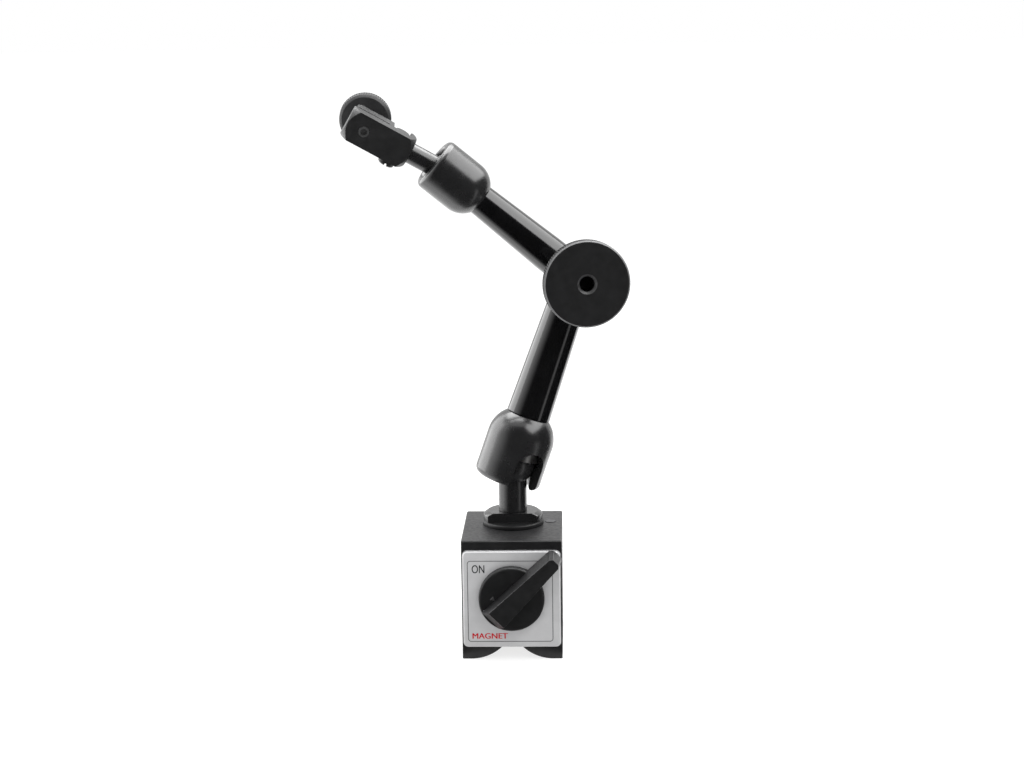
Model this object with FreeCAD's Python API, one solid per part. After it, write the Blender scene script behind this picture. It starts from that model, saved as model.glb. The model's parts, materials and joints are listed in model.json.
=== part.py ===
import FreeCAD, Part
import math
import os
from FreeCAD import Placement, Rotation, Vector

# Articulated holder arm on a switchable magnetic base, in millimetres.
# Origin: bottom centre of the base. +X right, +Y to the back, +Z up.
# The face plate and the lock knob look towards -Y.

# ---- driving dimensions -------------------------------------------------
# magnetic base
BASE_W = 30.0
BASE_D = 35.0
BASE_H = 36.5
BASE_EDGE = 0.3
FOOT_INNER = 12.3
SHOULDER_R = 13.25
SPACER_T = 2.0
ROTOR_Z = 19.5
ROTOR_BORE_R = 9.0
ROTOR_R = 8.92
BEARING_T = 1.8
SPINDLE_R = 3.0
RUN_FIT = 0.08
STOP_PIN_R = 0.8
STOP_PIN_RADIUS = 6.4
STOP_PIN_ANGLE = 135.0
TIE_R = 1.25
TIE_Z = 31.5
TIE_Y = 11.5
TIE_REACH = 9.5
DOWEL_R = 1.7
DOWEL_X = 11.4
DOWEL_Y = 4.8

# front plate, rear cover and switch
PLATE_W = 29.3
PLATE_Z0 = 3.9
PLATE_Z1 = 33.7
PLATE_T = 1.2
PLATE_CORNER = 1.6
COVER_T = 1.0
COVER_SCREW_R = 1.25
COVER_HEAD_R = 2.3
COVER_HEAD_T = 1.0
COVER_SCREW_LEN = 6.0
SWITCH_DISC_R = 9.8
SWITCH_GAP = 0.4
SWITCH_DISC_T = 2.4
SWITCH_DISC_EDGE = 0.8
SWITCH_FRONT = 9.5
LEVER_REST = 45.0
LEVER_TIP = 19.4
LEVER_TAIL = 9.0
LEVER_HALF_TAIL = 3.1
LEVER_HALF_TIP = 1.85

# stud, lock nut and lower ball joint
STUD_Y = 3.0
STUD_R = 3.96
STUD_FOOT_Z = 30.0
NECK_R = 4.3
NUT_R = 9.0
NUT_FLANGE_R = 9.3
NUT_H = 4.2
NUT_FLANGE_H = 1.3
NUT_FLAT = 4.9
BALL_Z = 55.7
BALL_R = 7.0
SIDE_SLOT_HALF = 4.9
SIDE_SLOT_TURN = 25.0
L_END = 15.4
L_BORE_TOP = 11.8

# arms, measured in the plane that holds both of them
PLANE_YAW = 10.0
LOWER_TILT = 19.6
LOWER_LEN = 60.0
UPPER_RISE = 39.6
UPPER_LEN = 50.0
HEAD_RISE = 29.6
HEAD_ROLL = -12.0
LUG_R = 8.2
LUG_T = 9.0
LUG_GAP = 0.06
WASHER_R = 7.0
TUBE_END = 10.7
POCKET_R = 5.6
POCKET_D = 7.15

# elbow lock
BOLT_R = 2.1
BOLT_CLEAR = 0.1
SLEEVE_R = 3.4
CONE_R0 = 2.9
CONE_R1 = 5.2
CONE_Y0 = 1.0
CONE_Y1 = 6.6
ROD_R = 1.5
ROD_BORE = 1.6
ROD_OFFSET = 3.6
KNOB_R = 12.85
KNOB_Y0 = 10.5
KNOB_Y1 = 19.0
KNOB_RIM_Y0 = 15.3
KNOB_HUB_R = 9.0
KNOB_CHAMFER = 0.5

# clamp head
HEAD_BALL_R = 5.4
U_END = 12.8
U_BORE_TOP = 9.8
HEAD_NECK_R = 3.1
HEAD_SPIGOT_R = 2.5
HEAD_SPIGOT_LEN = 1.5
HEAD_LEN = 33.0
BLOCK_LEN = 20.5
BLOCK_HALF = 4.7
SLOT_HALF = 0.35
REAR_WALL_R = 5.7
CLAMP_SCREW_R = 1.6
CLAMP_SCREW_BACK = 5.5
WHEEL_R = 7.75
WHEEL_Y0 = 9.2
WHEEL_Y1 = 13.2

X = Vector(1, 0, 0)
Y = Vector(0, 1, 0)
Z = Vector(0, 0, 1)
O = Vector(0, 0, 0)


# ---- helpers ------------------------------------------------------------
def box(x0, x1, y0, y1, z0, z1):
    return Part.makeBox(x1 - x0, y1 - y0, z1 - z0, Vector(x0, y0, z0))


def rod(r, start, end):
    axis = end.sub(start)
    return Part.makeCylinder(r, axis.Length, start, axis)


def rod_y(r, y0, y1, x=0.0, z=0.0):
    return Part.makeCylinder(r, y1 - y0, Vector(x, y0, z), Y)


def rod_z(r, z0, z1, x=0.0, y=0.0):
    return Part.makeCylinder(r, z1 - z0, Vector(x, y, z0), Z)


def ring_y(r_in, r_out, y0, y1, x=0.0, z=0.0):
    return rod_y(r_out, y0, y1, x, z).cut(rod_y(r_in, y0 - 1, y1 + 1, x, z))


def outline(points):
    """Closed wire in the XZ plane. An entry is (x, z), or (x, z, mx, mz) for an arc through (mx, mz)."""
    edges = []
    last = Vector(points[-1][0], 0, points[-1][1])
    for p in points:
        here = Vector(p[0], 0, p[1])
        if len(p) == 4:
            edges.append(Part.Arc(last, Vector(p[2], 0, p[3]), here).toShape())
        elif here.sub(last).Length > 1e-7:
            edges.append(Part.LineSegment(last, here).toShape())
        last = here
    return Part.Wire(edges)


def turned(points):
    """Solid of revolution about the local Z axis from a profile of (radius, height)."""
    return Part.Face(outline(points)).revolve(O, Z, 360)


def turned_y(points):
    """Solid of revolution about Y from a profile of (radius, y)."""
    solid = turned(points)
    solid.rotate(O, X, -90)
    return solid


def prism_y(points, y0, y1):
    face = Part.Face(outline(points))
    face.translate(Vector(0, y0, 0))
    return face.extrude(Vector(0, y1 - y0, 0))


def arc_mid(cx, cz, r, degrees):
    a = math.radians(degrees)
    return cx + r * math.cos(a), cz + r * math.sin(a)


def placed(shape, placement):
    out = shape.copy()
    out.Placement = placement.multiply(out.Placement)
    return out


def mirrored_y(shape):
    return shape.mirror(O, Y)


parts = {}


def add(name, shape, placement=None):
    solid = shape if placement is None else placed(shape, placement)
    if solid.ShapeType == "Compound" and len(solid.Solids) == 1:
        solid = solid.Solids[0]
    parts[name] = solid


# ---- frames of the jointed members ---------------------------------------
yaw = Placement(Vector(0, STUD_Y, 0), Rotation(Z, PLANE_YAW))
lower_a = math.radians(LOWER_TILT)
upper_a = math.radians(UPPER_RISE)
elbow_x = LOWER_LEN * math.sin(lower_a)
elbow_z = BALL_Z + LOWER_LEN * math.cos(lower_a)
head_x = elbow_x - UPPER_LEN * math.cos(upper_a)
head_z = elbow_z + UPPER_LEN * math.sin(upper_a)

# Each frame has its origin on a ball or pivot centre. Its Z runs along the member.
lower = yaw.multiply(Placement(Vector(0, 0, BALL_Z), Rotation(Y, LOWER_TILT)))
elbow = yaw.multiply(Placement(Vector(elbow_x, 0, elbow_z), Rotation()))
upper = yaw.multiply(Placement(Vector(head_x, 0, head_z), Rotation(Y, 90 + UPPER_RISE)))
head_turn = Rotation(Y, HEAD_RISE - 90).multiply(Rotation(Z, HEAD_ROLL))
head = yaw.multiply(Placement(Vector(head_x, 0, head_z), head_turn))


# ---- magnetic base --------------------------------------------------------
half_w = BASE_W / 2
half_d = BASE_D / 2
flank_x = FOOT_INNER - SHOULDER_R * math.sin(math.radians(45))
flank_z = SHOULDER_R * (1 - math.cos(math.radians(45)))
groove_apex = flank_z + flank_x
block = box(-half_w, half_w, -half_d, half_d, 0, BASE_H)
block = block.makeChamfer(BASE_EDGE, [
    e for e in block.Edges
    if e.BoundBox.ZMin > BASE_H - 0.01 or e.BoundBox.ZLength > BASE_H - 0.01
])
right_mid = arc_mid(FOOT_INNER, SHOULDER_R, SHOULDER_R, 247.5)
groove = prism_y([
    (-FOOT_INNER, -1),
    (-FOOT_INNER, 0),
    (-flank_x, flank_z, -right_mid[0], right_mid[1]),
    (0, groove_apex),
    (flank_x, flank_z),
    (FOOT_INNER, 0, right_mid[0], right_mid[1]),
    (FOOT_INNER, -1),
], -half_d - 1, half_d + 1)
bore = rod_y(ROTOR_BORE_R, -half_d - 1, half_d + 1, 0, ROTOR_Z)
stud_hole = rod_z(STUD_R + 0.04, STUD_FOOT_Z - 2, BASE_H + 1, 0, STUD_Y)
base_body = block.cut(groove).cut(bore).cut(stud_hole)

# tie pins run across the two pole shoes through the spacer
tie_holes = []
for side, name in ((-1, "tie_pin_front"), (1, "tie_pin_rear")):
    start = Vector(-TIE_REACH, side * TIE_Y, TIE_Z)
    end = Vector(TIE_REACH, side * TIE_Y, TIE_Z)
    tie_holes.append(rod(TIE_R + 0.02, start.add(Vector(-0.1, 0, 0)), end.add(Vector(0.1, 0, 0))))
    add(name, rod(TIE_R, start, end))
for hole in tie_holes:
    base_body = base_body.cut(hole)

# a dowel shows as a small round mark on the top face beside the nut
base_body = base_body.cut(rod_z(DOWEL_R + 0.02, BASE_H - 5.1, BASE_H + 1, DOWEL_X, DOWEL_Y))
add("top_dowel", rod_z(DOWEL_R, BASE_H - 5.0, BASE_H + 0.15, DOWEL_X, DOWEL_Y))

# rear cover screws
cover_spots = {"cover_screw_lower": (-11.4, 7.6), "cover_screw_upper": (11.4, 29.6)}
rear_cover = box(-half_w + 0.4, half_w - 0.4, half_d, half_d + COVER_T, PLATE_Z0, PLATE_Z1)
rear_cover = rear_cover.makeFillet(PLATE_CORNER, [
    e for e in rear_cover.Edges if abs(e.BoundBox.YLength - COVER_T) < 0.01
])
for name, (sx, sz) in cover_spots.items():
    shank = rod_y(COVER_SCREW_R, half_d - COVER_SCREW_LEN, half_d + 0.5, sx, sz)
    cone = Part.makeCone(COVER_SCREW_R, COVER_HEAD_R, COVER_HEAD_T, Vector(sx, half_d, sz), Y)
    slot = box(sx - 0.3, sx + 0.3, half_d + 0.55, half_d + 2, sz - 3, sz + 3)
    add(name, shank.fuse(cone).cut(slot).removeSplitter())
    hole = rod_y(COVER_SCREW_R + 0.02, half_d - COVER_SCREW_LEN - 0.1, half_d + 1, sx, sz)
    seat = Part.makeCone(
        COVER_SCREW_R + 0.02, COVER_HEAD_R + 0.03, COVER_HEAD_T + 0.01,
        Vector(sx, half_d - 0.01, sz), Y)
    base_body = base_body.cut(hole)
    rear_cover = rear_cover.cut(hole).cut(seat)
add("rear_cover", rear_cover)

half_s = SPACER_T / 2
big = 100.0
add("pole_shoe_left", base_body.common(box(-big, -half_s, -big, big, -1, big)))
add("pole_shoe_right", base_body.common(box(half_s, big, -big, big, -1, big)))
middle = base_body.common(box(-half_s, half_s, -big, big, -1, big))
for solid in middle.Solids:
    centre = solid.CenterOfMass
    if centre.z < ROTOR_Z:
        add("spacer_bottom", solid)
    else:
        add("spacer_top_rear" if centre.y > STUD_Y else "spacer_top_front", solid)

# bearings close both ends of the rotor bore
bearing_r = ROTOR_BORE_R - 0.02
spindle_hole_r = SPINDLE_R + RUN_FIT
pin_x = STOP_PIN_RADIUS * math.cos(math.radians(STOP_PIN_ANGLE))
pin_z = ROTOR_Z + STOP_PIN_RADIUS * math.sin(math.radians(STOP_PIN_ANGLE))
front_bearing = ring_y(spindle_hole_r, bearing_r, -half_d, -half_d + BEARING_T, 0, ROTOR_Z)
front_bearing = front_bearing.cut(rod_y(STOP_PIN_R + 0.02, -half_d - 1, 0, pin_x, pin_z))
add("front_bearing", front_bearing)
add("rear_bearing", rod_y(bearing_r, half_d - BEARING_T, half_d, 0, ROTOR_Z).cut(
    rod_y(spindle_hole_r, half_d - BEARING_T - 1, half_d - 0.4, 0, ROTOR_Z)))
rotor_y = half_d - BEARING_T - 0.3
add("stop_pin", rod_y(STOP_PIN_R, -half_d + 0.1, -rotor_y + 1.6, pin_x, pin_z))

# magnet rotor with an arc groove in which the stop pin limits the quarter turn
rotor = ring_y(SPINDLE_R + 0.02, ROTOR_R, -rotor_y, rotor_y, 0, ROTOR_Z)
groove_sweep = 90.0
groove_pad = math.degrees((STOP_PIN_R + 0.3) / STOP_PIN_RADIUS)
groove_ring = ring_y(STOP_PIN_RADIUS - 1.1, STOP_PIN_RADIUS + 1.1, -rotor_y - 1, -rotor_y + 2.0,
                     0, ROTOR_Z)
a0 = math.radians(STOP_PIN_ANGLE - groove_sweep - groove_pad)
a1 = math.radians(STOP_PIN_ANGLE + groove_pad)
am = (a0 + a1) / 2
wedge = prism_y([
    (0, ROTOR_Z),
    (20 * math.cos(a0), ROTOR_Z + 20 * math.sin(a0)),
    (26 * math.cos(am), ROTOR_Z + 26 * math.sin(am)),
    (20 * math.cos(a1), ROTOR_Z + 20 * math.sin(a1)),
], -rotor_y - 1, -rotor_y + 2.0)
add("magnet_rotor", rotor.cut(groove_ring.common(wedge)))
spindle_front = -half_d - PLATE_T - 5.0
add("drive_spindle", rod_y(SPINDLE_R, spindle_front, half_d - 0.6, 0, ROTOR_Z))

# front plate
plate_front = -half_d - PLATE_T
plate = box(-PLATE_W / 2, PLATE_W / 2, plate_front, -half_d, PLATE_Z0, PLATE_Z1)
plate = plate.makeFillet(PLATE_CORNER, [
    e for e in plate.Edges if abs(e.BoundBox.YLength - PLATE_T) < 0.01
])
plate = plate.makeChamfer(0.45, [
    e for e in plate.Edges
    if e.BoundBox.YMax < plate_front + 0.01
])
add("front_plate", plate.cut(rod_y(SPINDLE_R + 0.3, plate_front - 1, 0, 0, ROTOR_Z)))

# switch knob: a round disc with a raised, tapered lever bar across it
disc_back = plate_front - SWITCH_GAP
disc_front = disc_back - SWITCH_DISC_T
bar_front = plate_front - SWITCH_FRONT
bar_back = plate_front - 1.8
edge_in = SWITCH_DISC_EDGE * (1 - math.sqrt(0.5))
disc = turned_y([
    (0, disc_back),
    (SWITCH_DISC_R, disc_back),
    (SWITCH_DISC_R, disc_front + SWITCH_DISC_EDGE),
    (SWITCH_DISC_R - SWITCH_DISC_EDGE, disc_front, SWITCH_DISC_R - edge_in, disc_front + edge_in),
    (0, disc_front),
])


def lever_loop(spread, tip, tail, y):
    """Outline of the lever in a plane of constant y, widened by spread."""
    corners = [
        Vector(-tail, y, -LEVER_HALF_TAIL - spread),
        Vector(tip - 0.8, y, -LEVER_HALF_TIP - spread),
        Vector(tip, y, -LEVER_HALF_TIP - spread + 0.8),
        Vector(tip, y, LEVER_HALF_TIP + spread - 0.8),
        Vector(tip - 0.8, y, LEVER_HALF_TIP + spread),
        Vector(-tail, y, LEVER_HALF_TAIL + spread),
    ]
    return Part.makePolygon(corners + [corners[0]])


bar = Part.makeLoft([
    lever_loop(0.0, LEVER_TIP - 0.5, LEVER_TAIL - 2.9, bar_front),
    lever_loop(0.45, LEVER_TIP, LEVER_TAIL, disc_front),
], True, True)
root = Part.makeLoft([
    lever_loop(0.45, LEVER_TIP, LEVER_TAIL, disc_front),
    lever_loop(0.6, LEVER_TIP, LEVER_TAIL, bar_back),
], True, True)
lever = bar.fuse(root).removeSplitter()
lever.rotate(O, Y, -LEVER_REST)
knob_shape = disc.fuse(lever).removeSplitter()
knob_shape.translate(Vector(0, 0, ROTOR_Z))
knob_shape = knob_shape.cut(rod_y(SPINDLE_R + 0.02, spindle_front - 0.1, 0, 0, ROTOR_Z))
add("switch_knob", knob_shape)

# ---- stud and lock nut ----------------------------------------------------
# the nut is round, with one flat on its front for a spanner
nut_top = BASE_H + NUT_H
nut = turned([
    (STUD_R + 0.05, BASE_H),
    (NUT_FLANGE_R, BASE_H),
    (NUT_FLANGE_R, BASE_H + NUT_FLANGE_H - 0.3),
    (NUT_R, BASE_H + NUT_FLANGE_H),
    (NUT_R, nut_top - 0.9),
    (NUT_R - 1.3, nut_top),
    (STUD_R + 0.05, nut_top),
])
nut = nut.cut(box(-20, 20, -20, -NUT_FLAT, BASE_H + NUT_FLANGE_H, nut_top + 1))
stud_place = Placement(Vector(0, STUD_Y, 0), Rotation())
add("lock_nut", nut, stud_place)
stud = rod_z(STUD_R, STUD_FOOT_Z, nut_top + 0.2)
stud = stud.fuse(rod_z(NECK_R, nut_top + 0.1, BALL_Z))
stud = stud.fuse(Part.makeSphere(BALL_R, Vector(0, 0, BALL_Z)))
add("ball_stud", stud.removeSplitter(), stud_place)


# ---- ball sockets ---------------------------------------------------------
def ball_seat(ball_r, thickness, cap_deg, hole_deg, placement, name):
    """Dished friction washer that sits on the far side of a ball."""
    r0 = ball_r + 0.1
    r1 = r0 + thickness
    shell = Part.makeSphere(r1).cut(Part.makeSphere(r0))
    keep = Part.makeCone(0, 30 * math.tan(math.radians(cap_deg)), 30, O, Z)
    hole = Part.makeCone(0, 30 * math.tan(math.radians(hole_deg)), 30, O, Z)
    add(name, shell.common(keep).cut(hole), placement)


def socket(ball_r, out_r, open_z, dome_z, end_z, bore_r, bore_top, lip_z, flare, rim_r, dome_r,
           hole_r):
    """Turned socket, mouth at the bottom, with a spherical lip and a cylindrical chamber above it."""
    seat_r = ball_r + 0.1
    lip_r = math.sqrt(seat_r ** 2 - lip_z ** 2)
    seat_top = 0.9
    top_r = math.sqrt(seat_r ** 2 - seat_top ** 2)
    half = math.asin((end_z - dome_z) / dome_r) / 2
    dome_mid = (out_r - dome_r + dome_r * math.cos(half), dome_z + dome_r * math.sin(half))
    dome_end = out_r - dome_r + dome_r * math.cos(2 * half)
    flare_r, flare_z = flare
    rim_in = rim_r - flare_r
    rim_out = out_r - rim_r
    k = math.sqrt(0.5)
    return turned([
        (lip_r, -lip_z),
        (flare_r, -flare_z),
        (rim_r, -open_z, rim_r - rim_in * k, -flare_z - (open_z - flare_z) * k),
        (out_r, -open_z + rim_out, rim_r + rim_out * k, -open_z + rim_out * (1 - k)),
        (out_r, dome_z),
        (dome_end, end_z, dome_mid[0], dome_mid[1]),
        (hole_r, end_z),
        (hole_r, bore_top),
        (bore_r, bore_top),
        (bore_r, seat_top),
        (top_r, seat_top),
        (lip_r, -lip_z, seat_r, 0.0),
    ])


def push_path(y_sign, reach, start_z):
    """Start and end of the inclined push rod in a member's frame."""
    return Vector(0, 0, start_z), Vector(0, y_sign * ROD_OFFSET, reach)


def domed_rod(r, start, end):
    axis = end.sub(start)
    unit = Vector(axis).normalize()
    s = start.add(Vector(unit).multiply(r))
    e = end.sub(Vector(unit).multiply(r))
    return rod(r, s, e).fuse(Part.makeSphere(r, s)).fuse(Part.makeSphere(r, e)).removeSplitter()


cone_at_rod = CONE_R0 + (CONE_R1 - CONE_R0) * (ROD_OFFSET - CONE_Y0) / (CONE_Y1 - CONE_Y0)
rod_gap = 0.55


def member(side, length, spigot_r, spigot_z, start_z, r0, r1, rod_start):
    """Tapered arm with a half-lap lug. side is -1 for the front half and +1 for the back half."""
    tube_end = length - TUBE_END
    spigot = rod_z(spigot_r, spigot_z, start_z + 0.5)
    tube = Part.makeCone(r0, r1, tube_end - start_z, Vector(0, 0, start_z), Z)
    half_tube = rod_z(r1, tube_end - 0.01, length)
    y0 = LUG_GAP if side > 0 else -LUG_GAP - LUG_T
    y1 = y0 + LUG_T
    lug = rod_y(LUG_R, y0, y1, 0, length)
    if side > 0:
        keep = box(-big, big, LUG_GAP, big, 0, big)
    else:
        keep = box(-big, big, -big, -LUG_GAP, 0, big)
    edge = [e for e in lug.Edges if e.BoundBox.YLength < 0.01
            and abs(abs(e.BoundBox.YMin) - LUG_GAP - LUG_T) < 0.01]
    lug = lug.makeChamfer(0.8, edge)
    arm = spigot.fuse(tube).fuse(half_tube.common(keep)).fuse(lug)
    pocket = rod_y(POCKET_R, min(0, side * POCKET_D), max(0, side * POCKET_D), 0, length)
    hole = rod_y(SLEEVE_R + 0.1, -20, 20, 0, length)
    start, end = push_path(side, length - cone_at_rod, rod_start)
    arm = arm.cut(pocket).cut(hole)
    direction = end.sub(start)
    long_bore = rod(ROD_BORE, start.sub(Vector(direction).multiply(0.1)), end)
    return arm.cut(long_bore).removeSplitter()


# lower joint; the side slot lets the stud's neck lie over
lower_socket = socket(
    BALL_R, 10.25, 6.1, 7.6, L_END, 7.7, L_BORE_TOP, 2.4, (7.0, 4.8), 8.0, 9.6, 5.0)
slot = rod_y(SIDE_SLOT_HALF, -20, 0, 0, 0.7)
slot = slot.fuse(box(-SIDE_SLOT_HALF, SIDE_SLOT_HALF, -20, 0, -20, 0.7))
slot.rotate(O, Z, SIDE_SLOT_TURN)
add("lower_socket", lower_socket.cut(slot), lower)
ball_seat(BALL_R, 0.4, 42, 16, Placement(Vector(0, STUD_Y, BALL_Z), Rotation()), "lower_ball_seat")
add("lower_pressure_cup", rod_z(7.55, 2.2, 9.6).cut(Part.makeSphere(BALL_R + 0.6)), lower)
add("lower_disc_spring", turned([
    (2.6, 10.5), (7.2, 9.75), (7.2, 10.55), (2.6, 11.3)]), lower)
add("lower_arm", member(1, LOWER_LEN, 4.98, L_BORE_TOP + 0.1, L_END, 6.75, 5.85, 9.7), lower)

# upper joint
upper_socket = socket(
    HEAD_BALL_R, 8.1, 5.2, 6.6, U_END, 6.1, U_BORE_TOP, 1.9, (5.4, 4.2), 6.4, 7.5, 4.0)
add("upper_socket", upper_socket, upper)
head_axis = yaw.multiply(Placement(Vector(head_x, 0, head_z), Rotation(Y, HEAD_RISE + 90)))
ball_seat(HEAD_BALL_R, 0.35, 40, 16, head_axis, "upper_ball_seat")
add("upper_pressure_cup", rod_z(5.95, 2.0, 8.0).cut(Part.makeSphere(HEAD_BALL_R + 0.5)), upper)
add("upper_disc_spring", turned([
    (2.4, 8.75), (5.8, 8.1), (5.8, 8.8), (2.4, 9.45)]), upper)
add("upper_arm", member(-1, UPPER_LEN, 3.98, U_BORE_TOP + 0.1, U_END, 4.7, 5.5, 8.1), upper)

# push rods
for name, side, length, start_z, frame in (
        ("lower_push_rod", 1, LOWER_LEN, 9.75, lower),
        ("upper_push_rod", -1, UPPER_LEN, 8.15, upper)):
    s, e = push_path(side, length - cone_at_rod - rod_gap, start_z)
    add(name, domed_rod(ROD_R, s, e), frame)

# ---- elbow lock -----------------------------------------------------------
bolt_bore = BOLT_R + BOLT_CLEAR
cone_profile = [
    (bolt_bore, CONE_Y0),
    (CONE_R0, CONE_Y0),
    (CONE_R1, CONE_Y1),
    (SLEEVE_R, CONE_Y1),
    (SLEEVE_R, LUG_GAP + LUG_T + 0.4),
    (bolt_bore, LUG_GAP + LUG_T + 0.4),
]
rear_cone = turned_y(cone_profile)
add("rear_cone", rear_cone, elbow)
add("front_cone", mirrored_y(rear_cone), elbow)
washer_y0 = LUG_GAP + LUG_T + 0.45
washer_y1 = washer_y0 + 0.9
add("rear_washer", ring_y(bolt_bore, WASHER_R, washer_y0, washer_y1), elbow)
add("thrust_washer", ring_y(bolt_bore, WASHER_R, -washer_y1, -washer_y0), elbow)
add("separator_ring", ring_y(bolt_bore + 0.1, 3.7, -0.7, 0.7), elbow)
bolt_head = turned_y([
    (0, washer_y1 + 0.02),
    (6.5, washer_y1 + 0.02),
    (6.5, washer_y1 + 3.0),
    (5.7, washer_y1 + 3.8),
    (0, washer_y1 + 3.8),
])
hexagon = [(2.0 * math.cos(math.radians(60 * i)) / math.cos(math.radians(30)),
            2.0 * math.sin(math.radians(60 * i)) / math.cos(math.radians(30))) for i in range(6)]
bolt_head = bolt_head.cut(prism_y(hexagon, washer_y1 + 1.6, washer_y1 + 6))
bolt = rod_y(BOLT_R, -KNOB_Y1 + 4.6, washer_y1 + 0.1)
add("elbow_bolt", bolt_head.fuse(bolt).removeSplitter(), elbow)
lock_knob = turned_y([
    (bolt_bore, -KNOB_Y0),
    (KNOB_HUB_R - 0.4, -KNOB_Y0),
    (KNOB_HUB_R, -KNOB_Y0 - 0.4),
    (KNOB_HUB_R, -KNOB_RIM_Y0),
    (KNOB_R - 0.5, -KNOB_RIM_Y0),
    (KNOB_R, -KNOB_RIM_Y0 - 0.5),
    (KNOB_R, -KNOB_Y1 + KNOB_CHAMFER),
    (KNOB_R - KNOB_CHAMFER, -KNOB_Y1),
    (3.0, -KNOB_Y1),
    (bolt_bore, -KNOB_Y1 + 0.8),
])
add("lock_knob", lock_knob, elbow)

# ---- clamp head -----------------------------------------------------------
block_z0 = HEAD_LEN - BLOCK_LEN
screw_z = HEAD_LEN - CLAMP_SCREW_BACK
corner_r = BLOCK_HALF * math.sqrt(2)
tip_r = 4.5
turn_limit = turned([
    (0, block_z0),
    (tip_r, block_z0),
    (corner_r + 0.05, block_z0 + corner_r + 0.05 - tip_r),
    (corner_r + 0.05, HEAD_LEN - (corner_r + 0.05 - tip_r)),
    (tip_r, HEAD_LEN),
    (0, HEAD_LEN),
])
bar_stock = box(-BLOCK_HALF, BLOCK_HALF, -BLOCK_HALF, BLOCK_HALF, block_z0, HEAD_LEN)
bar_stock = bar_stock.common(turn_limit)

pivot_z = HEAD_LEN - 15.9
pivot_r = 2.45
wall_z = pivot_z - 2.75
jaw_z0 = HEAD_LEN - 13.0
jaw_z1 = HEAD_LEN - 1.0
slot_end = HEAD_LEN - 11.5
near_half = bar_stock.common(box(-big, big, -big, -SLOT_HALF, 0, big))
rear_wall = bar_stock.common(box(-big, big, -SLOT_HALF - 0.01, big, 0, wall_z))
rear_wall = rear_wall.common(rod_z(REAR_WALL_R, 0, wall_z))
bridge = bar_stock.common(box(-big, big, -SLOT_HALF - 0.01, 0.0, wall_z - 0.01, jaw_z0 - 0.6))
clamp_body = near_half.fuse(rear_wall).fuse(bridge)
pivot_hole = rod(pivot_r + 0.03, Vector(-10, 0.2, pivot_z), Vector(10, 0.2, pivot_z))
clamp_body = clamp_body.cut(pivot_hole)
clamp_body = clamp_body.cut(rod_y(CLAMP_SCREW_R + RUN_FIT, -10, 10, 0, screw_z))
clamp_body = clamp_body.cut(rod_z(HEAD_SPIGOT_R + 0.02, 0, block_z0 + HEAD_SPIGOT_LEN + 0.1))
add("clamp_body", clamp_body.removeSplitter(), head)

head_stud = Part.makeSphere(HEAD_BALL_R)
head_stud = head_stud.fuse(rod_z(HEAD_NECK_R, 0, block_z0))
head_stud = head_stud.fuse(rod_z(HEAD_SPIGOT_R, block_z0 - 0.1, block_z0 + HEAD_SPIGOT_LEN))
add("head_stud", head_stud.removeSplitter(), head)

jaw = bar_stock.common(box(-big, big, SLOT_HALF, big, jaw_z0, jaw_z1))
heel = bar_stock.common(box(-big, big, -SLOT_HALF + 0.05, SLOT_HALF + 0.01, jaw_z0, slot_end))
jaw = jaw.fuse(heel).cut(rod_y(CLAMP_SCREW_R + 0.25, -10, 10, 0, screw_z))
add("clamp_jaw", jaw.removeSplitter(), head)

pivot = rod(pivot_r, Vector(-BLOCK_HALF - 1.9, 0.2, pivot_z), Vector(BLOCK_HALF - 0.1, 0.2, pivot_z))
pivot = pivot.makeChamfer(0.4, [e for e in pivot.Edges if e.BoundBox.XLength < 0.01])
pivot = pivot.cut(box(-BLOCK_HALF - 3, -BLOCK_HALF - 1.1, -10, 10, pivot_z - 0.35, pivot_z + 0.35))
add("cross_screw", pivot, head)

hub_y0 = BLOCK_HALF + 0.9
add("clamp_washer", ring_y(CLAMP_SCREW_R + 0.25, 3.6, BLOCK_HALF + 0.02, hub_y0 - 0.05, 0, screw_z), head)
screw_hole = rod_y(0.95, -BLOCK_HALF - 1, -BLOCK_HALF + 0.7, 0, screw_z)
clamp_screw = rod_y(CLAMP_SCREW_R, -BLOCK_HALF, WHEEL_Y1 - 1.0, 0, screw_z)
add("clamp_screw", clamp_screw.cut(screw_hole), head)
wheel = turned_y([
    (CLAMP_SCREW_R + 0.02, hub_y0),
    (3.4, hub_y0),
    (3.4, WHEEL_Y0),
    (WHEEL_R - 0.8, WHEEL_Y0),
    (WHEEL_R, WHEEL_Y0 + 0.8),
    (WHEEL_R, WHEEL_Y1 - 0.8),
    (WHEEL_R - 0.8, WHEEL_Y1),
    (CLAMP_SCREW_R + 0.02, WHEEL_Y1),
])
wheel.translate(Vector(0, 0, screw_z))
add("clamp_wheel", wheel, head)

# ---- write ----------------------------------------------------------------
os.makedirs("parts", exist_ok=True)
for name, shape in parts.items():
    shape.exportStep(os.path.join("parts", name + ".step"))
print(len(parts), "parts written")
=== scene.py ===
"""Looks of the articulated holder arm on its switchable magnetic base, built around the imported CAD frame."""

import json
import math

import bmesh
import bpy
from mathutils import Matrix, Vector

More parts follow.
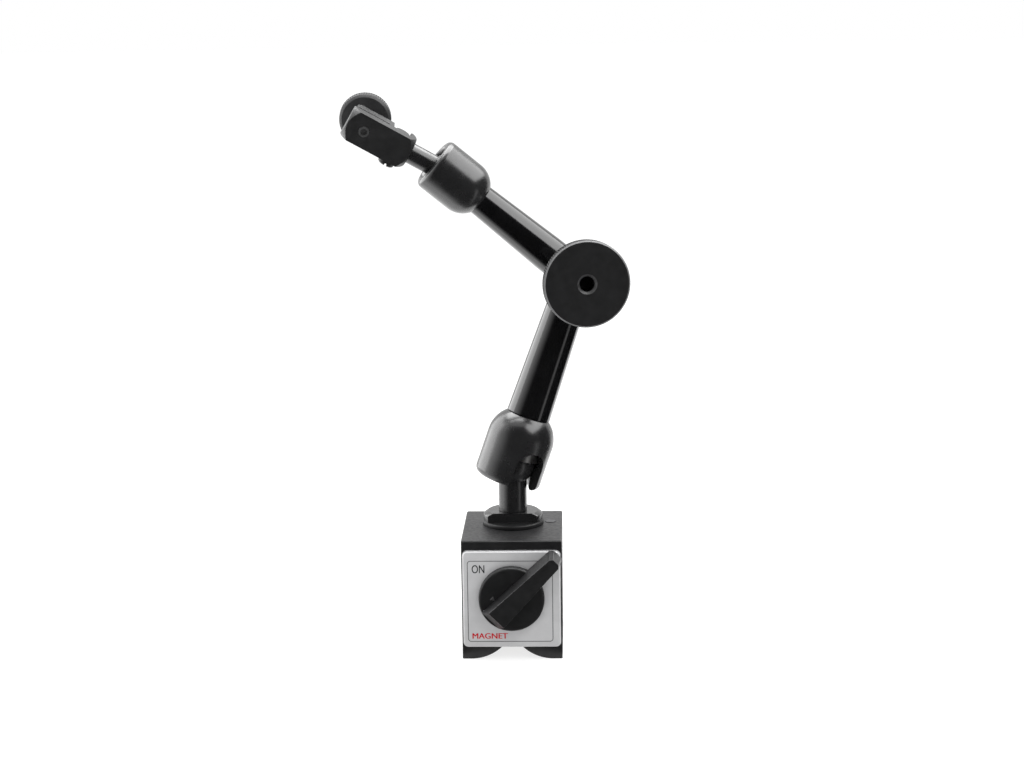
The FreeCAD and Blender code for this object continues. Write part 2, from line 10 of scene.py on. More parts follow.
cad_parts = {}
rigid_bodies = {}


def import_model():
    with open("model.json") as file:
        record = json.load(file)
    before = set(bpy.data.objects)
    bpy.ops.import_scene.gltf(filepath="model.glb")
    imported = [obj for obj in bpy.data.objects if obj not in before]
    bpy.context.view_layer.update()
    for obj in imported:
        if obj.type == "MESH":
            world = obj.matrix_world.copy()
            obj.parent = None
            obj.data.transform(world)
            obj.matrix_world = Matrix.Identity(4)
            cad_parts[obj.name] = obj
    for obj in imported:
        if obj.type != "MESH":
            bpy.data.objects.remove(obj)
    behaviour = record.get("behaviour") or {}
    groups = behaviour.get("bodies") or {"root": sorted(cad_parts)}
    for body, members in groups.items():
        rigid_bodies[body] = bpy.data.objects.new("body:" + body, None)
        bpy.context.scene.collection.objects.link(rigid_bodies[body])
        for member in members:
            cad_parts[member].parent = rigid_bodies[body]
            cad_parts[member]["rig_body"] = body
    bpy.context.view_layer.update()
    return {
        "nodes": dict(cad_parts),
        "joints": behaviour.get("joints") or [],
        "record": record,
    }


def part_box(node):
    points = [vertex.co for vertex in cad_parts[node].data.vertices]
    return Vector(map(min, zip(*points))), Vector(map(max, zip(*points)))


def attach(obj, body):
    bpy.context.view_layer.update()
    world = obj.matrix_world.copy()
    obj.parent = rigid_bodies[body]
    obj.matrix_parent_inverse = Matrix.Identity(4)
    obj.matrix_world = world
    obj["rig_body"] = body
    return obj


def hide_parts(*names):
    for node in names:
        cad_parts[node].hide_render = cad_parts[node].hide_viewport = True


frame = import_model()

MM = 0.001
NODES = frame["nodes"]
JOINTS = {j["name"]: j for j in frame["joints"]}
SLOT_OF = {s["node"]: s["material_slot"] for s in frame["record"]["subparts"]}


# ---- places --------------------------------------------------------------------
def place(origin, y, z):
    """Local frame at origin with its Y axis along y and its Z axis as near to z as it can be."""
    y = Vector(y).normalized()
    x = y.cross(Vector(z)).normalized()
    matrix = Matrix((x, y, x.cross(y))).transposed().to_4x4()
    matrix.translation = Vector(origin)
    return matrix


def span(node, at):
    """Lowest and highest corner of a CAD node, measured in a local frame."""
    inverse = at.inverted()
    points = [inverse @ v.co for v in NODES[node].data.vertices]
    return (Vector([min(p[i] for p in points) for i in range(3)]),
            Vector([max(p[i] for p in points) for i in range(3)]))


UP = (0, 0, 1)
BACK = (0, 1, 0)
HEAD_AXIS = JOINTS["head_roll"]["axis"]
SWITCH = place(JOINTS["switch_turn"]["pos_m"], BACK, UP)
STUD = place(JOINTS["lower_swivel"]["pos_m"], UP, BACK)
ELBOW = place(JOINTS["elbow_fold"]["pos_m"], JOINTS["elbow_fold"]["axis"], UP)
WHEEL = place(JOINTS["wheel_turn"]["pos_m"], JOINTS["wheel_turn"]["axis"], HEAD_AXIS)


# ---- materials -----------------------------------------------------------------
class Finish:
    """A Principled material with small helpers that lay procedural detail over it."""

    def __init__(self, name, colour, roughness, metallic=0.0, specular=0.5, coat=0.0, coat_roughness=0.1):
        self.material = bpy.data.materials.new(name)
        self.material.use_nodes = True
        self.tree = self.material.node_tree
        self.bsdf = self.tree.nodes["Principled BSDF"]
        self.colour = colour
        self.roughness = roughness
        self.height = None
        self.set("Base Color", (*colour, 1))
        self.set("Roughness", roughness)
        self.set("Metallic", metallic)
        self.set("Specular IOR Level", specular)
        self.set("Coat Weight", coat)
        self.set("Coat Roughness", coat_roughness)
        self.where = self.node("ShaderNodeTexCoord").outputs["Object"]

    def set(self, socket, value):
        self.bsdf.inputs[socket].default_value = value

    def node(self, kind, **settings):
        made = self.tree.nodes.new(kind)
        for key, value in settings.items():
            setattr(made, key, value)
        return made

    def link(self, output, target):
        self.tree.links.new(output, target)

    def noise(self, scale, detail=3.0, stretch=(1, 1, 1), rough=0.55):
        """Noise output, with scale in cells per metre."""
        mapping = self.node("ShaderNodeMapping")
        mapping.inputs["Scale"].default_value = stretch
        self.link(self.where, mapping.inputs["Vector"])
        texture = self.node("ShaderNodeTexNoise")
        texture.inputs["Scale"].default_value = scale
        texture.inputs["Detail"].default_value = detail
        texture.inputs["Roughness"].default_value = rough
        self.link(mapping.outputs["Vector"], texture.inputs["Vector"])
        return texture.outputs["Fac"]

    def remap(self, value, low, high, from_low=0.3, from_high=0.7):
        made = self.node("ShaderNodeMapRange")
        made.inputs["From Min"].default_value = from_low
        made.inputs["From Max"].default_value = from_high
        made.inputs["To Min"].default_value = low
        made.inputs["To Max"].default_value = high
        self.link(value, made.inputs["Value"])
        return made.outputs["Result"]

    def shade(self, value, dark, light):
        """Base colour varies between dark and light multiples of the finish's colour."""
        ramp = self.node("ShaderNodeValToRGB")
        ramp.color_ramp.elements[0].position = 0.3
        ramp.color_ramp.elements[1].position = 0.7
        ramp.color_ramp.elements[0].color = (*[c * dark for c in self.colour], 1)
        ramp.color_ramp.elements[1].color = (*[c * light for c in self.colour], 1)
        self.link(value, ramp.inputs["Fac"])
        self.link(ramp.outputs["Color"], self.bsdf.inputs["Base Color"])
        return self

    def polish(self, value, low, high):
        """Roughness varies between low and high."""
        self.link(self.remap(value, low, high), self.bsdf.inputs["Roughness"])
        return self

    def bump(self, value, depth):
        """Adds relief of that depth in metres."""
        made = self.node("ShaderNodeBump")
        made.inputs["Distance"].default_value = depth
        made.inputs["Strength"].default_value = 1.0
        self.link(value, made.inputs["Height"])
        if self.height is not None:
            self.link(self.height, made.inputs["Normal"])
        self.height = made.outputs["Normal"]
        self.link(self.height, self.bsdf.inputs["Normal"])
        return self

    def radius(self, at):
        """Distance from the Y axis of a local frame, in metres."""
        offset = self.node("ShaderNodeVectorMath", operation="SUBTRACT")
        offset.inputs[1].default_value = at.translation
        self.link(self.where, offset.inputs[0])
        cross = self.node("ShaderNodeVectorMath", operation="CROSS_PRODUCT")
        cross.inputs[1].default_value = at.to_3x3() @ Vector(BACK)
        self.link(offset.outputs["Vector"], cross.inputs[0])
        length = self.node("ShaderNodeVectorMath", operation="LENGTH")
        self.link(cross.outputs["Vector"], length.inputs[0])
        return length.outputs["Value"]

    def rings(self, at, pitch, depth):
        """Turning marks: fine concentric waves about the Y axis of a local frame."""
        turns = self.node("ShaderNodeMath", operation="MULTIPLY")
        turns.inputs[1].default_value = 2 * math.pi / pitch
        self.link(self.radius(at), turns.inputs[0])
        wave = self.node("ShaderNodeMath", operation="SINE")
        self.link(turns.outputs["Value"], wave.inputs[0])
        return self.bump(wave.outputs["Value"], depth)


def painted_body():
    made = Finish("body_paint", (0.0095, 0.0095, 0.010), 0.42, specular=0.4)
    made.shade(made.noise(260), 0.8, 1.35)
    made.polish(made.noise(900), 0.36, 0.52)
    return made.bump(made.noise(5200, 2.0), 0.000012)


def silver_plate():
    made = Finish("plate_silver", (0.455, 0.455, 0.461), 0.45, metallic=0.12)
    made.shade(made.noise(300, 2.0), 0.96, 1.04)
    made.polish(made.noise(1500, 2.0, (1, 1, 14)), 0.36, 0.5)
    return made.bump(made.noise(2600, 2.0, (1, 1, 14)), 0.000004)


def moulded_plastic():
    made = Finish("switch_plastic", (0.0105, 0.0105, 0.011), 0.42, specular=0.34)
    made.shade(made.noise(400), 0.85, 1.25)
    made.polish(made.noise(1800), 0.34, 0.48)
    return made.bump(made.noise(7000, 2.0), 0.00001)


def satin_oxide():
    made = Finish("oxide_satin", (0.011, 0.011, 0.0115), 0.24, specular=0.85)
    made.shade(made.noise(110, 2.0), 0.85, 1.25)
    made.polish(made.noise(260, 2.0), 0.2, 0.3)
    return made.bump(made.noise(5200, 2.0), 0.000002)


def gloss_oxide():
    made = Finish("oxide_gloss", (0.0035, 0.0035, 0.0038), 0.15, specular=0.7, coat=0.2, coat_roughness=0.08)
    made.shade(made.noise(220, 3.0), 0.8, 1.3)
    made.polish(made.noise(700, 3.0), 0.1, 0.18)
    return made.bump(made.noise(2400, 2.0), 0.0000015)


def knob_black():
    made = Finish("knob_black", (0.0095, 0.0095, 0.010), 0.5, specular=0.3)
    made.shade(made.noise(350, 3.0), 0.85, 1.25)
    made.polish(made.noise(1200, 2.0), 0.44, 0.58)
    made.rings(ELBOW, 0.00022, 0.0000015)
    return made.bump(made.noise(6000, 2.0), 0.000007)


def clamp_black():
    made = Finish("clamp_black", (0.011, 0.011, 0.0115), 0.42, specular=0.45)
    made.shade(made.noise(300, 4.0), 0.8, 1.4)
    made.polish(made.noise(900, 3.0), 0.36, 0.5)
    return made.bump(made.noise(4200, 3.0), 0.000007)


def plastic_painted_highlight():
    """Painted highlight: the switch's moulded edges get a lighter grey and a smoother polish than the faces,
    so that they read as lit.
    """
    made = Finish("plastic_painted_highlight", (0.11, 0.11, 0.112), 0.36, specular=0.6)
    made.shade(made.noise(900, 2.0), 0.7, 1.3)
    made.polish(made.noise(1800, 2.0), 0.25, 0.36)
    return made.bump(made.noise(6000, 2.0), 0.000002)


def chamfer():
    """The knob's turned edge, brighter than its face: the lighter grey is partly bare turned metal and partly
    a painted highlight. The lever's upper painted highlight and the switch's dot use it too.
    """
    made = Finish("chamfer", (0.105, 0.105, 0.107), 0.42, specular=0.6)
    made.shade(made.noise(500, 2.0), 0.85, 1.15)
    made.polish(made.noise(1400, 2.0), 0.36, 0.5)
    return made.bump(made.noise(4800, 2.0), 0.000002)


def rubbed():
    """Oxide worn thin where a tool or a screw has rubbed it."""
    made = Finish("rubbed", (0.036, 0.036, 0.037), 0.42, specular=0.5)
    made.shade(made.noise(700, 3.0), 0.7, 1.35)
    made.polish(made.noise(1600, 2.0), 0.34, 0.5)
    return made.bump(made.noise(4800, 2.0), 0.000003)


def wheel_satin():
    """The thumb wheel's dull grey-black face."""
    made = Finish("wheel_satin", (0.026, 0.026, 0.027), 0.45, specular=0.45)
    made.shade(made.noise(350, 3.0), 0.85, 1.25)
    made.polish(made.noise(1100, 2.0), 0.4, 0.52)
    made.rings(WHEEL, 0.0002, 0.0000015)
    return made.bump(made.noise(5000, 2.0), 0.000005)


def metal(name, colour, roughness, mottle=300, grain=3000, depth=0.000003, spread=0.07):
    """Bare or plated metal with cloudy colour, uneven polish and fine grain."""
    made = Finish(name, colour, roughness, metallic=1.0)
    made.shade(made.noise(mottle, 3.0), 0.88, 1.08)
    made.polish(made.noise(mottle * 3, 3.0), roughness - spread, roughness + spread)
    return made.bump(made.noise(grain, 2.0), depth)


def ink(name, colour):
    """Printed ink with a slightly uneven film."""
    made = Finish(name, colour, 0.5, specular=0.3)
    made.shade(made.noise(1500, 2.0), 0.9, 1.15)
    made.polish(made.noise(2500, 2.0), 0.45, 0.6)
    return made.bump(made.noise(9000, 2.0), 0.000002)


FINISHES = {
    "body_paint": painted_body(),
    "plate_silver": silver_plate(),
    "switch_plastic": moulded_plastic(),
    "oxide_satin": satin_oxide(),
    "oxide_gloss": gloss_oxide(),
    "knob_black": knob_black(),
    "clamp_black": clamp_black(),
    "spacer_metal": metal("spacer_metal", (0.55, 0.45, 0.25), 0.35),
    "steel_bright": metal("steel_bright", (0.40, 0.395, 0.39), 0.36),
    "dark_steel": metal("dark_steel", (0.12, 0.12, 0.124), 0.36),
    "bearing_brass": metal("bearing_brass", (0.60, 0.46, 0.22), 0.3),
    "magnet_dark": metal("magnet_dark", (0.10, 0.10, 0.105), 0.45, grain=1800, depth=0.00001),
    "spring_steel": metal("spring_steel", (0.30, 0.31, 0.34), 0.28),
    "chamfer": chamfer(),
    "rubbed": rubbed(),
    "plastic_painted_highlight": plastic_painted_highlight(),
    # Painted shade: a darker grey metal than the plate, for its rounded rim.
    "plate_rim_painted_shade": metal("plate_rim_painted_shade", (0.14, 0.14, 0.143), 0.5),
    "dowel_worn": metal("dowel_worn", (0.09, 0.09, 0.093), 0.45),
    "wheel_satin": wheel_satin(),
    # Dim grey metal, used only for the painted highlight along the lever's lower edge.
    "dim_painted_highlight": metal("dim_painted_highlight", (0.10, 0.10, 0.102), 0.5),
    "ink_dark": ink("ink_dark", (0.02, 0.02, 0.021)),
    "ink_grey": ink("ink_grey", (0.12, 0.12, 0.123)),
    "ink_red": ink("ink_red", (0.42, 0.008, 0.014)),
}


# ---- meshes --------------------------------------------------------------------
SHARP = math.radians(32)
INK_FILM = 0.012 * MM
CAPITAL_HEIGHT = 0.73    # of a capital letter, for a font size of 1


def piece(mesh, name, body, finish):
    """Turns a finished bmesh into a smooth-shaded piece that rides on a body."""
    bmesh.ops.recalc_face_normals(mesh, faces=mesh.faces)
    for edge in mesh.edges:
        edge.smooth = len(edge.link_faces) != 2 or edge.calc_face_angle() < SHARP
    for face in mesh.faces:
        face.smooth = True
    data = bpy.data.meshes.new(name)
    mesh.to_mesh(data)
    mesh.free()
    data.materials.append(FINISHES[finish].material)
    made = bpy.data.objects.new(name, data)
    bpy.context.scene.collection.objects.link(made)
    weight = made.modifiers.new("flat_faces", "WEIGHTED_NORMAL")
    weight.keep_sharp = True
    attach(made, body)
    return made


def stand_in(made, node):
    """made takes the place of one CAD node."""
    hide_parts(node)
    return made


def softened(node, width, edge_finish=None, steps=2, angle=25):
    """The CAD node again, with its coplanar facets joined and its edges rounded.
    The rounded edges can have a finish of their own."""
    def roomy(vert):
        return all(e.calc_length() > 1.5 * width for e in vert.link_edges)

    mesh = bmesh.new()
    mesh.from_mesh(NODES[node].data)
    for layer in list(mesh.loops.layers.float_vector.values()):
        mesh.loops.layers.float_vector.remove(layer)
    bmesh.ops.remove_doubles(mesh, verts=mesh.verts, dist=1e-6)
    bmesh.ops.dissolve_limit(mesh, angle_limit=math.radians(0.4), verts=mesh.verts, edges=mesh.edges)
    edges = [e for e in mesh.edges if len(e.link_faces) == 2 and e.calc_face_angle() > math.radians(angle)
             and all(roomy(v) for v in e.verts)]
    rounded = bmesh.ops.bevel(mesh, geom=edges, offset=width, segments=steps, profile=0.5,
                              affect="EDGES", clamp_overlap=True)
    if edge_finish:
        for face in rounded["faces"]:
            face.material_index = 1
    bmesh.ops.remove_doubles(mesh, verts=mesh.verts, dist=1e-6)
    made = piece(mesh, node + "_eased", NODES[node]["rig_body"], SLOT_OF[node])
    if edge_finish:
        made.data.materials.append(FINISHES[edge_finish].material)
    custom = made.data.attributes.get("custom_normal")
    if custom is not None:
        made.data.attributes.remove(custom)
    return stand_in(made, node)


def eased(loop, radius, steps=3):
    """A closed loop of (radius, height) points with each corner rounded."""
    longest = 0.45    # of a side, so that the roundings at its two ends never meet
    out = []
    for before, here, after in zip(loop[-1:] + loop[:-1], loop, loop[1:] + loop[:1]):
        here = Vector(here)
        to_before, to_after = Vector(before) - here, Vector(after) - here
        reach = min(radius, to_before.length * longest, to_after.length * longest)
        start = here + to_before.normalized() * reach
        end = here + to_after.normalized() * reach
        for i in range(steps + 1):
            t = i / steps
            out.append(start.lerp(here, t).lerp(here.lerp(end, t), t))
    return out


def lathe(loop, at, steps=160, shape=None):
    """Bmesh turned about the Y axis of a local frame from a closed loop of (radius, y) points.
    shape(radius, y, angle) may change the radius, for knurls and flats."""
    mesh = bmesh.new()
    rings = []
    for r, y in loop:
        ring = []
        for i in range(steps):
            angle = 2 * math.pi * i / steps
            here = shape(r, y, angle) if shape else r
            ring.append(mesh.verts.new(at @ Vector((here * math.cos(angle), y, here * math.sin(angle)))))
        rings.append(ring)
    for a, b in zip(rings, rings[1:] + rings[:1]):
        for i in range(steps):
            j = (i + 1) % steps
            mesh.faces.new((a[i], a[j], b[j], b[i]))
    return mesh


def paint(made, at, test, finish):
    """Gives a second finish to the faces whose (radius, y) in a local frame pass a test."""
    made.data.materials.append(FINISHES[finish].material)
    index = len(made.data.materials) - 1
    inverse = at.inverted()
    for polygon in made.data.polygons:
        centre = inverse @ polygon.center
        if test(math.hypot(centre.x, centre.z), centre.y):
            polygon.material_index = index


def knurl(teeth, depth, rim, y_low, y_high):
    """Radius function for a straight knurl on the rim between two heights."""
    def shape(r, y, angle):
        if r < rim - depth or not y_low <= y <= y_high:
            return r
        return r - depth * (0.5 - 0.5 * math.cos(teeth * angle))
    return shape


def lock_knob():
    """The elbow's clamping knob: matt face, brighter front chamfer with a painted highlight, rubbed socket
    edge, knurled rim.
    The paint tests stop a little short of the rounded corners."""
    low, high = span("lock_knob", ELBOW)
    rim = (high.x - low.x) / 2
    bore = 2.2 * MM
    chamfer = 0.5 * MM
    hub = 9.0 * MM
    hub_edge = 0.4 * MM
    sink = 0.8 * MM
    back = high.y
    front = low.y
    rim_back = front + 3.7 * MM
    loop = eased([
        (bore, back),
        (hub - hub_edge, back),
        (hub, back - hub_edge),
        (hub, rim_back),
        (rim - chamfer, rim_back),
        (rim, rim_back - chamfer),
        (rim, front + chamfer),
        (rim - chamfer, front),
        (bore + sink, front),
        (bore, front + sink),
    ], 0.1 * MM)
    teeth = 104
    mesh = lathe(loop, ELBOW, teeth * 6, knurl(teeth, 0.22 * MM, rim, front + chamfer, rim_back - chamfer))
    made = piece(mesh, "lock_knob_knurled", "knob", "knob_black")
    # The front chamfer: lighter grey, partly bare turned metal and partly a painted highlight.
    paint(made, ELBOW, lambda r, y: r > rim - chamfer * 0.97 and y < front + chamfer * 0.8, "chamfer")
    paint(made, ELBOW, lambda r, y: bore < r < bore + sink and y < front + sink * 0.9, "rubbed")
    return stand_in(made, "lock_knob")


def clamp_wheel():
    """Knurled thumb wheel with its hub."""
    low, high = span("clamp_wheel", WHEEL)
    rim = (high.x - low.x) / 2
    bore = 1.62 * MM
    hub = 3.4 * MM
    disc = high.y - 4.0 * MM
    chamfer = 0.8 * MM
    loop = eased([
        (bore, low.y),
        (hub, low.y),
        (hub, disc),
        (rim - chamfer, disc),
        (rim, disc + chamfer),
        (rim, high.y - chamfer),
        (rim - chamfer, high.y),
        (hub, high.y),
        (hub - 0.3 * MM, high.y - 0.3 * MM),
        (bore, high.y - 0.3 * MM),
    ], 0.1 * MM)
    teeth = 64
    mesh = lathe(loop, WHEEL, teeth * 6, knurl(teeth, 0.22 * MM, rim, disc + chamfer, high.y - chamfer))
    made = piece(mesh, "clamp_wheel_knurled", "wheel", "wheel_satin")
    return stand_in(made, "clamp_wheel")


def rounded_box(half_x, half_z, radius, steps=6):
    """Loop of (x, z) points round a rectangle with arcs at its corners."""
    out = []
    for k, (sx, sz) in enumerate(((1, 1), (-1, 1), (-1, -1), (1, -1))):
        for i in range(steps + 1):
            a = math.radians(90 * (k + i / steps))
            out.append((sx * (half_x - radius) + radius * math.cos(a),
                        sz * (half_z - radius) + radius * math.sin(a)))
    return out


def band(outer, inner, y_front, y_back):
    """Bmesh of a thin flat ring between two loops of (x, z) points."""
    mesh = bmesh.new()
    rings = []
    for loop, y in ((outer, y_front), (inner, y_front), (inner, y_back), (outer, y_back)):
        rings.append([mesh.verts.new((x, y, z)) for x, z in loop])
    count = len(outer)
    for a, b in zip(rings, rings[1:] + rings[:1]):
        for i in range(count):
            j = (i + 1) % count
            mesh.faces.new((a[i], a[j], b[j], b[i]))
    return mesh


def lettering(words, name, height, x, z, front, finish, body, narrow):
    """A printed word whose lower left corner is at x, z on a surface that faces the front."""
    data = bpy.data.curves.new(name, "FONT")
    data.body = words
    data.size = height / CAPITAL_HEIGHT
    data.extrude = INK_FILM
    data.space_character = 1.02
    made = bpy.data.objects.new(name, data)
    made.rotation_euler = (math.radians(90), 0, 0)
    made.scale.x = narrow
    made.location = (x, front, z)
    bpy.context.scene.collection.objects.link(made)
    data.materials.append(FINISHES[finish].material)
    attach(made, body)
    return made


def bold(words, name, height, x, z, front, finish, narrow, shift):
    """A word printed twice with a small shift, so that its strokes are thicker.
    The second print stands a hair in front of the first."""
    for part, moved in (("", 0.0), ("_second", shift)):
        lettering(words, name + part, height, x + moved, z, front - moved * 0.02, finish, "base", narrow)


def plate_print():
    """The face plate's printed border and words."""
    low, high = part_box("front_plate")
    left, right = low.x + 1.45 * MM, high.x - 2.35 * MM
    bottom, top = low.z + 1.75 * MM, high.z - 2.93 * MM
    centre_x, centre_z = (left + right) / 2, (bottom + top) / 2
    half_x, half_z = (right - left) / 2, (top - bottom) / 2
    line = 0.26 * MM
    corner = 1.0 * MM

    def loop(inset):
        return [(x + centre_x, z + centre_z)
                for x, z in rounded_box(half_x - inset, half_z - inset, corner - inset)]
    mesh = band(loop(0), loop(line), low.y - INK_FILM, low.y + INK_FILM)
    border = piece(mesh, "plate_border", "base", "ink_grey")
    state_z = top - 3.8 * MM
    state_height = 2.6 * MM
    for word, name, x in (
            ("ON", "plate_word_on", left + 1.3 * MM),
            ("OFF", "plate_word_off", right - 6.0 * MM)):
        bold(word, name, state_height, x, state_z, low.y, "ink_dark", narrow=0.7, shift=0.07 * MM)
    bold("MAGNET", "plate_word_magnet", 1.8 * MM, left + 1.1 * MM, bottom + 1.0 * MM, low.y, "ink_red",
         narrow=1.05, shift=0.16 * MM)


def raised_mark(name, corners, x, z, height, slope, finish):
    """A low raised mark on the switch's disc, centred at x, z from the switch's axis.
    slope is the size of its front against its foot, which is sunk a little into the disc."""
    disc_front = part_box("front_plate")[0].y - 2.8 * MM
    sunk = 0.05 * MM
    mesh = bmesh.new()
    rings = []
    for spread, y in (
            (1.0, disc_front + sunk),
            (1.0, disc_front - 0.3 * height),
            (slope, disc_front - height)):
        rings.append([mesh.verts.new((x + a * spread, y, SWITCH.translation.z + z + b * spread))
                      for a, b in corners])
    count = len(corners)
    for a, b in zip(rings, rings[1:]):
        for i in range(count):
            j = (i + 1) % count
            mesh.faces.new((a[i], a[j], b[j], b[i]))
    mesh.faces.new(rings[0])
    mesh.faces.new(rings[-1])
    made = piece(mesh, name, "switch", finish)


def lever_painted_highlight(name, side, finish, reach):
    """A narrow painted highlight: a light strip along one long edge of the lever's front face, reach metres
    from its tail.
    """
    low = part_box("switch_knob")[0]
    tail, half_tail = 6.1 * MM, 3.1 * MM
    tip, half_tip = 18.1 * MM, 1.85 * MM
    lever_rest = math.radians(45)
    start = Vector((-tail + 0.3 * MM, side * half_tail))
    end = Vector((tip, side * half_tip))
    along = (end - start).normalized()
    end = start + along * reach
    across = Vector((-along.y, along.x)) * side
    wide = 0.26 * MM
    section = ((-wide, low.y + INK_FILM), (-wide * 0.5, low.y), (0.0, low.y + INK_FILM * 0.5),
               (0.0, low.y + wide), (-wide, low.y + wide))
    mesh = bmesh.new()
    rings = []
    for point in (start, start.lerp(end, 0.5), end):
        ring = []
        for outward, y in section:
            flat = point + across * outward
            ring.append(mesh.verts.new((flat.x, y, flat.y)))
        rings.append(ring)
    for a, b in zip(rings, rings[1:]):
        for i in range(len(section)):
            j = (i + 1) % len(section)
            mesh.faces.new((a[i], a[j], b[j], b[i]))
    mesh.faces.new(rings[0])
    mesh.faces.new(rings[-1])
    turned = Matrix.Translation((0, 0, SWITCH.translation.z)) @ Matrix.Rotation(-lever_rest, 4, "Y")
    bmesh.ops.transform(mesh, matrix=turned, verts=mesh.verts)
    made = piece(mesh, name, "switch", finish)


def regular(sides, radius, start):
    """Corners of a regular polygon."""
    return [(radius * math.cos(math.radians(start + 360 * i / sides)),
             radius * math.sin(math.radians(start + 360 * i / sides))) for i in range(sides)]


# ---- pieces --------------------------------------------------------------------
for cad_name, cad_node in NODES.items():
    cad_node.data.materials.clear()
    cad_node.data.materials.append(FINISHES[SLOT_OF[cad_name]].material)

lock_knob()
clamp_wheel()
plate_print()
raised_mark("switch_mark_triangle", regular(3, 0.9 * MM, 75), x=-5.6 * MM, z=0.3 * MM,
            height=0.2 * MM, slope=0.6, finish="rubbed")
raised_mark("switch_mark_dot", regular(20, 0.26 * MM, 0), x=-8.2 * MM, z=-3.35 * MM,
            height=0.15 * MM, slope=0.5, finish="chamfer")
# Painted highlights along the lever's two long front edges, brighter above and dimmer below.
lever_painted_highlight("switch_highlight_upper", 1, "chamfer", 19 * MM)
lever_painted_highlight("switch_highlight_lower", -1, "dim_painted_highlight", 16 * MM)
EASED = {
    # The plate's rounded rim takes the darker painted-shade finish.
    "front_plate": (0.14 * MM, "plate_rim_painted_shade"),
    # The switch's rounded edges carry a painted highlight finish.
    "switch_knob": (0.3 * MM, "plastic_painted_highlight"),
    "rear_cover": (0.1 * MM, None),
    "lock_nut": (0.18 * MM, None),
    "clamp_body": (0.16 * MM, None),
    "clamp_jaw": (0.16 * MM, None),
    "elbow_bolt": (0.12 * MM, None),
    "cross_screw": (0.1 * MM, None),
    "clamp_washer": (0.08 * MM, None),
    "rear_washer": (0.12 * MM, None),
    "thrust_washer": (0.12 * MM, None),
    "top_dowel": (0.1 * MM, None),
}
for cad_name, (width, edge_finish) in EASED.items():
    softened(cad_name, width, edge_finish)
# Painted shade: the lock nut's faces up to 1.4 mm above its lowest point take the darker, rougher knob_black
# finish, so that the nut's foot reads as dark as the shade round it.
flange_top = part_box("lock_nut")[0].z - STUD.translation.z + 1.4 * MM
paint(bpy.data.objects["lock_nut_eased"], STUD, lambda r, y: y < flange_top, "knob_black")
for cad_name, finish in (("top_dowel_eased", "dowel_worn"), ("clamp_screw", "rubbed"),
                         ("cover_screw_lower", "dark_steel"), ("cover_screw_upper", "dark_steel")):
    bpy.data.objects[cad_name].data.materials[0] = FINISHES[finish].material


# ---- stage, lights and camera ----------------------------------------------------
def stage_floor():
    data = bpy.data.meshes.new("floor")
    mesh = bmesh.new()
    bmesh.ops.create_circle(mesh, cap_ends=True, segments=96, radius=9.0)
    mesh.to_mesh(data)
    mesh.free()
    made = bpy.data.objects.new("floor", data)
    bpy.context.scene.collection.objects.link(made)
    white = Finish("floor_white", (0.3, 0.3, 0.3), 0.9, specular=0.1)
    white.set("Emission Color", (1, 1, 1, 1))
    white.set("Emission Strength", 0.77)
    data.materials.append(white.material)


def flag(name, corners, level=0.0):
    """A card that only mirrors see, to keep the fronts of glossy parts dark. level is its glow."""
    data = bpy.data.meshes.new(name)
    data.from_pydata(corners, [], [tuple(range(len(corners)))])
    made = bpy.data.objects.new(name, data)
    bpy.context.scene.collection.objects.link(made)
    card = Finish(name, (0.0, 0.0, 0.0), 1.0, specular=0.0)
    card.set("Emission Color", (1, 1, 1, 1))
    card.set("Emission Strength", level)
    data.materials.append(card.material)
    made.visible_camera = False
    made.visible_diffuse = False
    made.visible_shadow = False
    made.visible_transmission = False


def on_circle(radius, degrees, height):
    """Point round the object. 0 degrees is towards the camera and 90 to its right."""
    a = math.radians(degrees)
    return radius * math.sin(a), -radius * math.cos(a), height


def soft_light(name, at, towards, width, height, power):
    data = bpy.data.lights.new(name, "AREA")
    data.shape = "RECTANGLE"
    data.size = width
    data.size_y = height
    data.energy = power
    made = bpy.data.objects.new(name, data)
    made.location = at
    made.rotation_mode = "QUATERNION"
    made.rotation_quaternion = (Vector(towards) - Vector(at)).to_track_quat("-Z", "Y")
    bpy.context.scene.collection.objects.link(made)


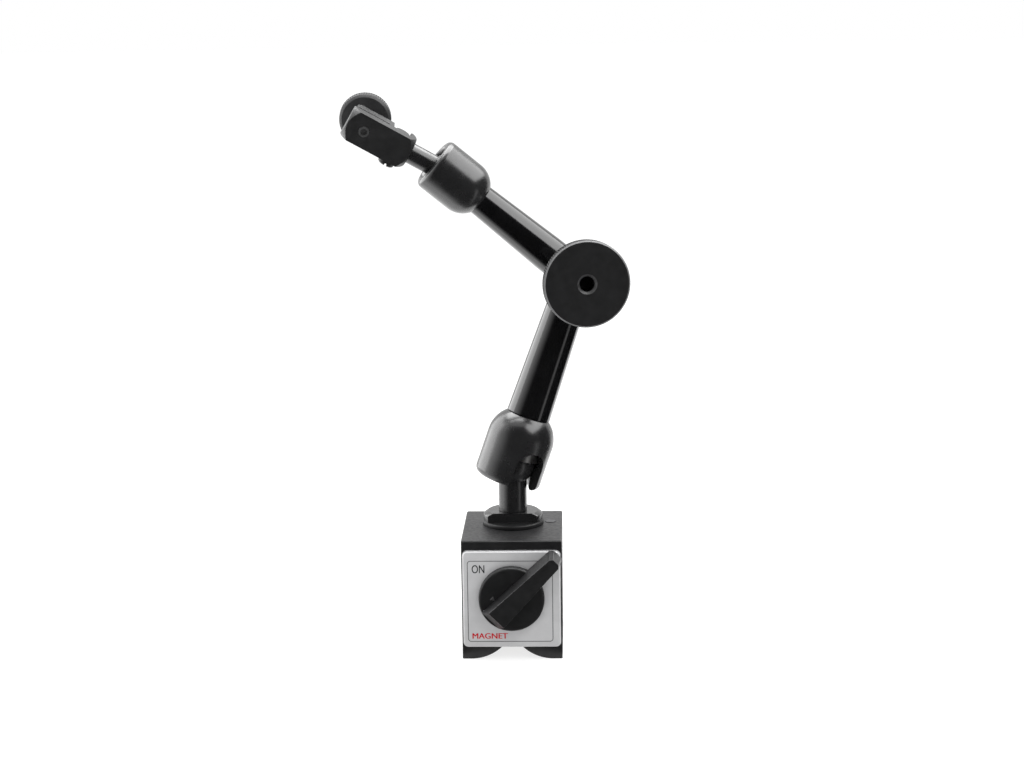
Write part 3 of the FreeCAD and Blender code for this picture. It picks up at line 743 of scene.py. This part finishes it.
def dark_room():
    """A wall and a floor of narrow cards round the object's left, front and right. They glow at the
    far left, fade to black before the front, and two floor cards at the front right glow."""
    inner, reach = 0.024, 0.75
    above_floor = 0.001
    high, low = 1.2, 0.5
    low_from = 30
    step = 6
    first, last = -90, 126
    dark_from = -40
    brightest, falloff = 1.9, 1.1
    glowing, glow = (54, 60), 0.75
    for start in range(first, last, step):
        stop = start + step
        level = brightest * max(0.0, (dark_from - start) / (dark_from - first)) ** falloff
        top = low if start > low_from else high
        flag(f"flag_wall_{start - first}", [
            on_circle(reach, start, above_floor), on_circle(reach, stop, above_floor),
            on_circle(reach, stop, top), on_circle(reach, start, top)], level)
        if start in glowing:
            level = glow
        flag(f"flag_floor_{start - first}", [
            on_circle(inner, start, above_floor), on_circle(inner, stop, above_floor),
            on_circle(reach, stop, above_floor), on_circle(reach, start, above_floor)], level)


def studio():
    """White room with three soft lights and the dark cards that glossy parts reflect."""
    bpy.context.scene.view_settings.view_transform = "Standard"
    world = bpy.data.worlds.new("white_room")
    bpy.context.scene.world = world
    world.use_nodes = True
    world.node_tree.nodes["Background"].inputs["Color"].default_value = (1, 1, 1, 1)
    world.node_tree.nodes["Background"].inputs["Strength"].default_value = 1.0
    stage_floor()
    middle = (0, 0, 0.09)
    dark_room()
    soft_light("left_softbox", (-0.45, 0.2, 0.22), middle, width=0.5, height=0.6, power=2.7)
    soft_light("right_topbox", on_circle(0.41, 88, 0.53), middle, width=0.85, height=0.4, power=3.4)
    soft_light("top_softbox", (0.0, 0.15, 0.6), middle, width=0.6, height=0.5, power=6.0)


def camera():
    """The photograph's viewpoint: in front, a little to the right, looking down about 11 degrees.
    Yaw, pitch, roll, lens and place come from fitting the photograph's perspective."""
    yaw, pitch, roll = (math.radians(a) for a in (-1.96, 11.04, -0.78))
    lens = 68.2
    eye = (0.0199, -0.5724, 0.1922)
    forward = Vector((math.sin(yaw) * math.cos(pitch), math.cos(yaw) * math.cos(pitch), -math.sin(pitch)))
    level = Vector((math.cos(yaw), -math.sin(yaw), 0))
    upward = level.cross(forward)
    right = level * math.cos(roll) + upward * math.sin(roll)
    above = upward * math.cos(roll) - level * math.sin(roll)
    turn = Matrix((right, above, -forward)).transposed()
    data = bpy.data.cameras.new("camera")
    data.sensor_width = 36
    data.lens = lens
    made = bpy.data.objects.new("camera", data)
    made.matrix_world = Matrix.Translation(eye) @ turn.to_4x4()
    bpy.context.scene.collection.objects.link(made)
    bpy.context.scene.camera = made


studio()
camera()
